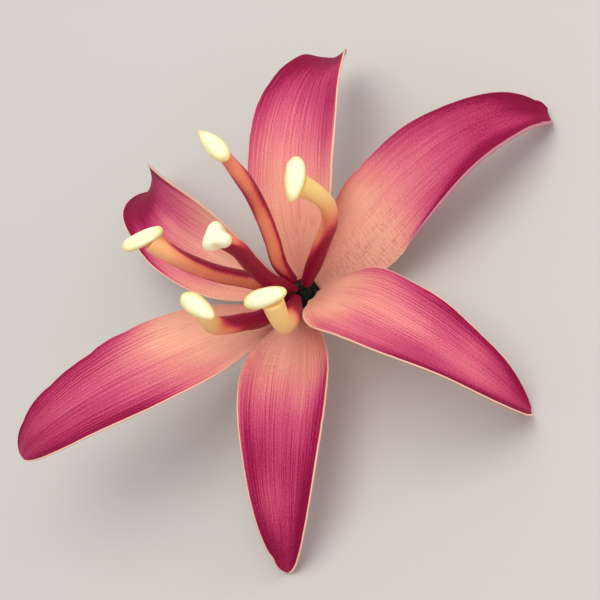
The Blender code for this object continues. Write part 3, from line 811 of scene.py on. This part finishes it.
def make_tube(name, points, radii, flush, seed, material, node):
    """A thick rod of paste through the points, uneven as a rolled one is, with a dusted surface
    whose darker flanks are partly painted shade.
    """
    path, distances = smooth_path(points, TUBE_ROWS)
    right, ahead = carried_frames(path)
    shares = (distances / distances[-1])[:, None]
    around = np.linspace(0, 2 * math.pi, TUBE_SIDES, endpoint=False)[None]
    out = right[:, None] * np.cos(around)[..., None] + ahead[:, None] * np.sin(around)[..., None]
    foot_rounding = radii[0]
    radii = tube_radii(distances, radii)[:, None]
    lumps = value_noise(8 + 2.0 * np.cos(around), distances[:, None] / 3.0, seed)
    lumps = lumps + value_noise(8 + 2.0 * np.sin(around), distances[:, None] / 2.2, seed + 1)
    foot = rounding(distances[:, None], foot_rounding)
    tip = rounding((distances[-1] - distances)[:, None], END_ROUND)
    radii = radii * (0.985 + UNEVENNESS * lumps) * foot * (1 - END_SHARE + END_SHARE * tip)
    rings = path[:, None] + out * radii[..., None]

    # Darker on the flanks turned away from the crown: partly dust, partly painted shade.
    facing = out @ seen_direction(flush.crown)
    flank_dust_and_shade = smoothstep(0.95, 0.26, facing)
    side = np.maximum(out @ seen_direction(flush.side), 0)
    foot = 1 - smoothstep(flush.ends_at - flush.blend, flush.ends_at + flush.blend, shares)
    run = 1 - smoothstep(flush.flanks_end - 0.3, flush.flanks_end + 0.1, shares)
    dust = 0.95 * foot + (flush.flanks * flank_dust_and_shade ** 1.3 + flush.side_dust * side ** 2) * run
    dust = dust + flush.all_over + flush.at_tip * smoothstep(0.45, 0.9, shares)
    values = {
        "dust": dust,
        "yellow": flush.yellow * smoothstep(flush.yellow_from, 0.95, shares) + 0 * around,
        "place": rings + 30.0 * seed,
    }
    piece = ring_piece(name, rings, values, material)
    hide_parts(node)


def anther_axes(stamen):
    """The anther's broad side, its back-to-front direction and its length."""
    along = Vector(stamen.anther_along).normalized()
    front = Vector(stamen.anther_centre) - Vector(stamen.through[-1])
    front = (front - front.dot(along) * along).normalized()
    return front.cross(along), front, along


def make_filament(name, side, stamen, seed, material):
    azimuth = math.radians(stamen.foot_azimuth)
    foot = (FOOT_RING_RADIUS * math.cos(azimuth), FOOT_RING_RADIUS * math.sin(azimuth), FOOT_HEIGHT)
    _, front, along = anther_axes(stamen)
    met = Vector(stamen.anther_centre) + stamen.meets_at * along
    foot = Vector(foot) + FOOT_SINK * (Vector((0, 0, FOOT_TARGET)) - Vector(foot)).normalized()
    points = (foot, *stamen.through[:-1], met - front * (0.5 * ANTHER_HEIGHT - FILAMENT_SINK))
    radii = (stamen.foot_radius, stamen.radius, stamen.end_radius)
    make_tube(name + "_dusted_and_shaded", points, radii, FLUSHES[side], seed, material, name)


def ball(rows, sides):
    """Angles of a ball's rings from its +Z pole down, and its unit vectors."""
    polar = np.linspace(0.02, math.pi - 0.02, rows)[:, None]
    around = np.linspace(0, 2 * math.pi, sides, endpoint=False)[None]
    vectors = np.stack([np.sin(polar) * np.cos(around), np.sin(polar) * np.sin(around),
                        np.cos(polar) + 0 * around], -1)
    return vectors, around


def make_anther(name, form, stamen, seed, material):
    """A grooved oval lying across the end of its filament."""
    vectors, around = ball(ANTHER_ROWS, ANTHER_SIDES)
    x, y, z = np.moveaxis(vectors, -1, 0)
    squared = np.sqrt((1 - np.abs(z) ** form.square) / (1 - z ** 2))
    hollow = (0.5 - 0.5 * np.cos(ANTHER_GROOVES * around)) * (1 - z ** 2)
    lumps = value_noise(6 + 3 * x + seed, 6 + 3 * z, seed)
    lumps = lumps + value_noise(6 + 3 * y, 6 + 4 * z, seed + 1)
    size = squared * (1 - form.taper * z) * (1 - form.groove * hollow) * (0.98 + 0.02 * lumps)
    local = np.stack([0.5 * ANTHER_WIDTH * (form.width * x * size + form.bulge * (1 - z ** 2)),
                      0.5 * ANTHER_HEIGHT * y * size,
                      0.5 * ANTHER_LENGTH * (z - form.nib * smoothstep(-0.95, -1.0, z))], -1)
    axes = np.array([list(axis) for axis in anther_axes(stamen)])
    rings = local @ axes + np.array(stamen.anther_centre)
    # The sides turned away from ANTHER_LIT_FROM and the grooves are painted yellower: painted
    # shade.
    facing = (np.stack([x, y, 0.6 * z], -1) @ axes) @ seen_direction(ANTHER_LIT_FROM)
    grooved = GROOVE_PAINTED_SHADE * form.groove * hollow / USUAL_GROOVE
    values = {"painted_shade": smoothstep(0.92, 0.2, facing) + grooved,
              "place": local + 30.0 * seed}
    piece = ring_piece(name + "_grooved", rings, values, material)
    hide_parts(name)


def make_stigma(material):
    """A knob of three rounded lobes that meet in clefts."""
    vectors, around = ball(STIGMA_ROWS, STIGMA_SIDES)
    x, y, z = np.moveaxis(vectors, -1, 0)
    turned = around - math.radians(STIGMA_TURN)
    level = 1 - z ** 2
    lobe = 1 + STIGMA_LOBE_DEPTH * (np.cos(STIGMA_LOBES * turned) - 0.4) * level
    dimple = 1 - STIGMA_DIMPLE * np.maximum(z, 0) ** 6
    lumps = value_noise(6 + 2.2 * x, 6 + 2.2 * y, 5) + value_noise(6 + 2.2 * y, 6 + 2.2 * z, 6)
    size = STIGMA_RADIUS * (0.98 + 0.02 * lumps)
    local = np.stack([x * lobe * size, y * lobe * size, STIGMA_FLATNESS * z * dimple * size], -1)
    hollow = (0.5 - 0.5 * np.cos(STIGMA_LOBES * turned)) * level
    # The clefts between the lobes are painted yellower: painted shade.
    values = {"painted_shade": 0.6 * hollow, "place": local}
    piece = ring_piece("stigma_lobed", local + np.array(STIGMA_CENTRE), values, material)
    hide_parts("stigma")


# Stem ----------------------------------------------------------------------------------------

STEM_SIDES = 120
STEM_ROWS = 110
TAPE_PITCH = 1.15            # height of one turn of the tape
TAPE_STEP = 0.13             # thickness that shows where a turn ends
# Where the tape's edge sticks out and how far, at what height, and over what angle and height.
# These near-black bulges also fill the gaps between the petal roots, standing in for shade there.
TAPE_BULGES_FILLING_SHADE = ((130, 1.5), (166, 0.8), (10, 0.5))
BULGE_HEIGHT = -2.4
BULGE_SPREAD = 0.55
BULGE_DEPTH = 0.9


def make_stem(material):
    """The stem end, wound with creased tape; its near-black collar and bulges also stand in for
    shade between the petal roots.
    """
    corners = np.array(STEM_PROFILE, float)
    travelled = np.concatenate([[0.0], np.cumsum(np.linalg.norm(np.diff(corners, axis=0), axis=1))])
    wanted = np.linspace(0.02, travelled[-1] - 0.02, STEM_ROWS)
    radius = np.interp(wanted, travelled, corners[:, 0])[:, None]
    height = np.interp(wanted, travelled, corners[:, 1])[:, None]
    around = np.linspace(0, 2 * math.pi, STEM_SIDES, endpoint=False)[None]
    turn = (height / TAPE_PITCH + around / (2 * math.pi)) % 1.0
    crest = smoothstep(0.0, 0.12, turn) * (1 - 0.7 * turn)
    crease = value_noise(20 + 9 * np.cos(around) + height, 20 + 9 * np.sin(around), 3)
    inset = TAPE_STEP * (1 - crest) + 0.05 * (1 - crease)
    thin = smoothstep(0.3, 1.5, radius)
    shown = np.maximum(radius - inset * thin, 0.01)
    # Bulges of near-black tape that fill the gaps between the petal roots, standing in for shade
    # there.
    for azimuth, reach in TAPE_BULGES_FILLING_SHADE:
        off = (around - math.radians(azimuth) + math.pi) % (2 * math.pi) - math.pi
        rise = (height - BULGE_HEIGHT) / BULGE_DEPTH
        shown = shown + reach * np.exp(-(off / BULGE_SPREAD) ** 2 - rise ** 2)
    rings = np.stack([shown * np.cos(around), shown * np.sin(around), height + 0 * around], -1)
    values = {"crest": crest * thin, "place": rings}
    piece = ring_piece("stem_taped", rings, values, material)
    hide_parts("stem")


# Stage ---------------------------------------------------------------------------------------

def view_matrix():
    """The camera's axes and place: it looks along the picture's depth at the petal roots."""
    turned = BLOOM_LEAN.to_matrix() @ bloom_to_view().transposed()
    place = turned @ (Vector((0, 0, VIEW_DISTANCE)) - ROOTS_OFF_CENTRE) + BLOOM_PLACE
    return Matrix.Translation(place * MM) @ turned.to_4x4()


def add_camera(view):
    camera = bpy.data.cameras.new("camera")
    camera.lens = LENS
    camera.sensor_width = SENSOR
    holder = bpy.data.objects.new("camera", camera)
    holder.matrix_world = view
    bpy.context.scene.collection.objects.link(holder)
    bpy.context.scene.camera = holder


def add_light(view, name, seen_from, distance, size, power, colour):
    """A square soft box, placed by the direction that it shines from as the picture sees it."""
    lamp = bpy.data.lights.new(name, "AREA")
    lamp.shape = "SQUARE"
    lamp.size = size
    lamp.energy = power
    lamp.color = colour
    holder = bpy.data.objects.new(name, lamp)
    direction = (view.to_3x3() @ Vector(seen_from)).normalized()
    holder.location = direction * distance
    holder.rotation_mode = "QUATERNION"
    holder.rotation_quaternion = direction.to_track_quat("Z", "Y")
    bpy.context.scene.collection.objects.link(holder)


def add_stage(view):
    mesh = bpy.data.meshes.new("floor")
    signs = ((-1, -1), (1, -1), (1, 1), (-1, 1))
    corners = [(FLOOR_REACH * x, FLOOR_REACH * y, 0) for x, y in signs]
    mesh.from_pydata(corners, [], [(0, 1, 2, 3)])
    floor = bpy.data.objects.new("floor", mesh)
    bpy.context.scene.collection.objects.link(floor)
    s = Shading("pale_floor")
    s.shader.inputs["Base Color"].default_value = linear(FLOOR_COLOUR)
    s.shader.inputs["Roughness"].default_value = 0.9
    mesh.materials.append(s.material)

    world = bpy.data.worlds.new("studio")
    world.use_nodes = True
    background = world.node_tree.nodes["Background"]
    background.inputs["Color"].default_value = SKY_COLOUR
    background.inputs["Strength"].default_value = SKY_STRENGTH
    bpy.context.scene.world = world
    bpy.context.scene.view_settings.view_transform = "Standard"
    for name, lamp in LAMPS.items():
        add_light(view, name, *lamp)


def main():
    petal_paste = petal_material()
    for seed, (name, petal) in enumerate(PETALS.items()):
        make_petal(name, petal, 11 * seed + 1, petal_paste)
    filament_paste = filament_material("dusted_and_shaded_filament_paste")
    anther_paste = cream_material("anther_paste", ANTHER_COLOUR, ANTHER_PAINTED_SHADE, ANTHER_ROUGHNESS)
    for seed, (side, stamen) in enumerate(STAMENS.items()):
        make_filament("filament_" + side, side, stamen, seed + 3, filament_paste)
        make_anther("anther_" + side, ANTHER_FORMS[side], stamen, seed + 3, anther_paste)
    style_end = Vector(STYLE_THROUGH[-1]) + Vector((0, 0, STYLE_SINK))
    style_points = ((0.0, 0.0, STYLE_FOOT_HEIGHT), *STYLE_THROUGH[:-1], style_end)
    style_radii = (STYLE_FOOT_RADIUS, STYLE_RADIUS, STYLE_RADIUS)
    make_tube("style_dusted_and_shaded", style_points, style_radii, STYLE_FLUSH, STYLE_SEED,
              filament_material("dusted_and_shaded_style_paste"), "style")
    make_stigma(cream_material("stigma_paste", STIGMA_COLOUR, ANTHER_PAINTED_SHADE, STIGMA_ROUGHNESS))
    make_stem(tape_material())
    view = view_matrix()
    add_camera(view)
    add_stage(view)


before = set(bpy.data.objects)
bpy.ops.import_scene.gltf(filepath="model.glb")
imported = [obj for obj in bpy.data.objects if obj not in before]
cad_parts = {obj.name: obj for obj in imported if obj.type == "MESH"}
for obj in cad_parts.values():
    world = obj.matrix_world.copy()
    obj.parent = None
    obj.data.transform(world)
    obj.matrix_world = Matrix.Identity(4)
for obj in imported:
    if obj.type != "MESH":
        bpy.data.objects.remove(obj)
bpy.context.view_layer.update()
main()
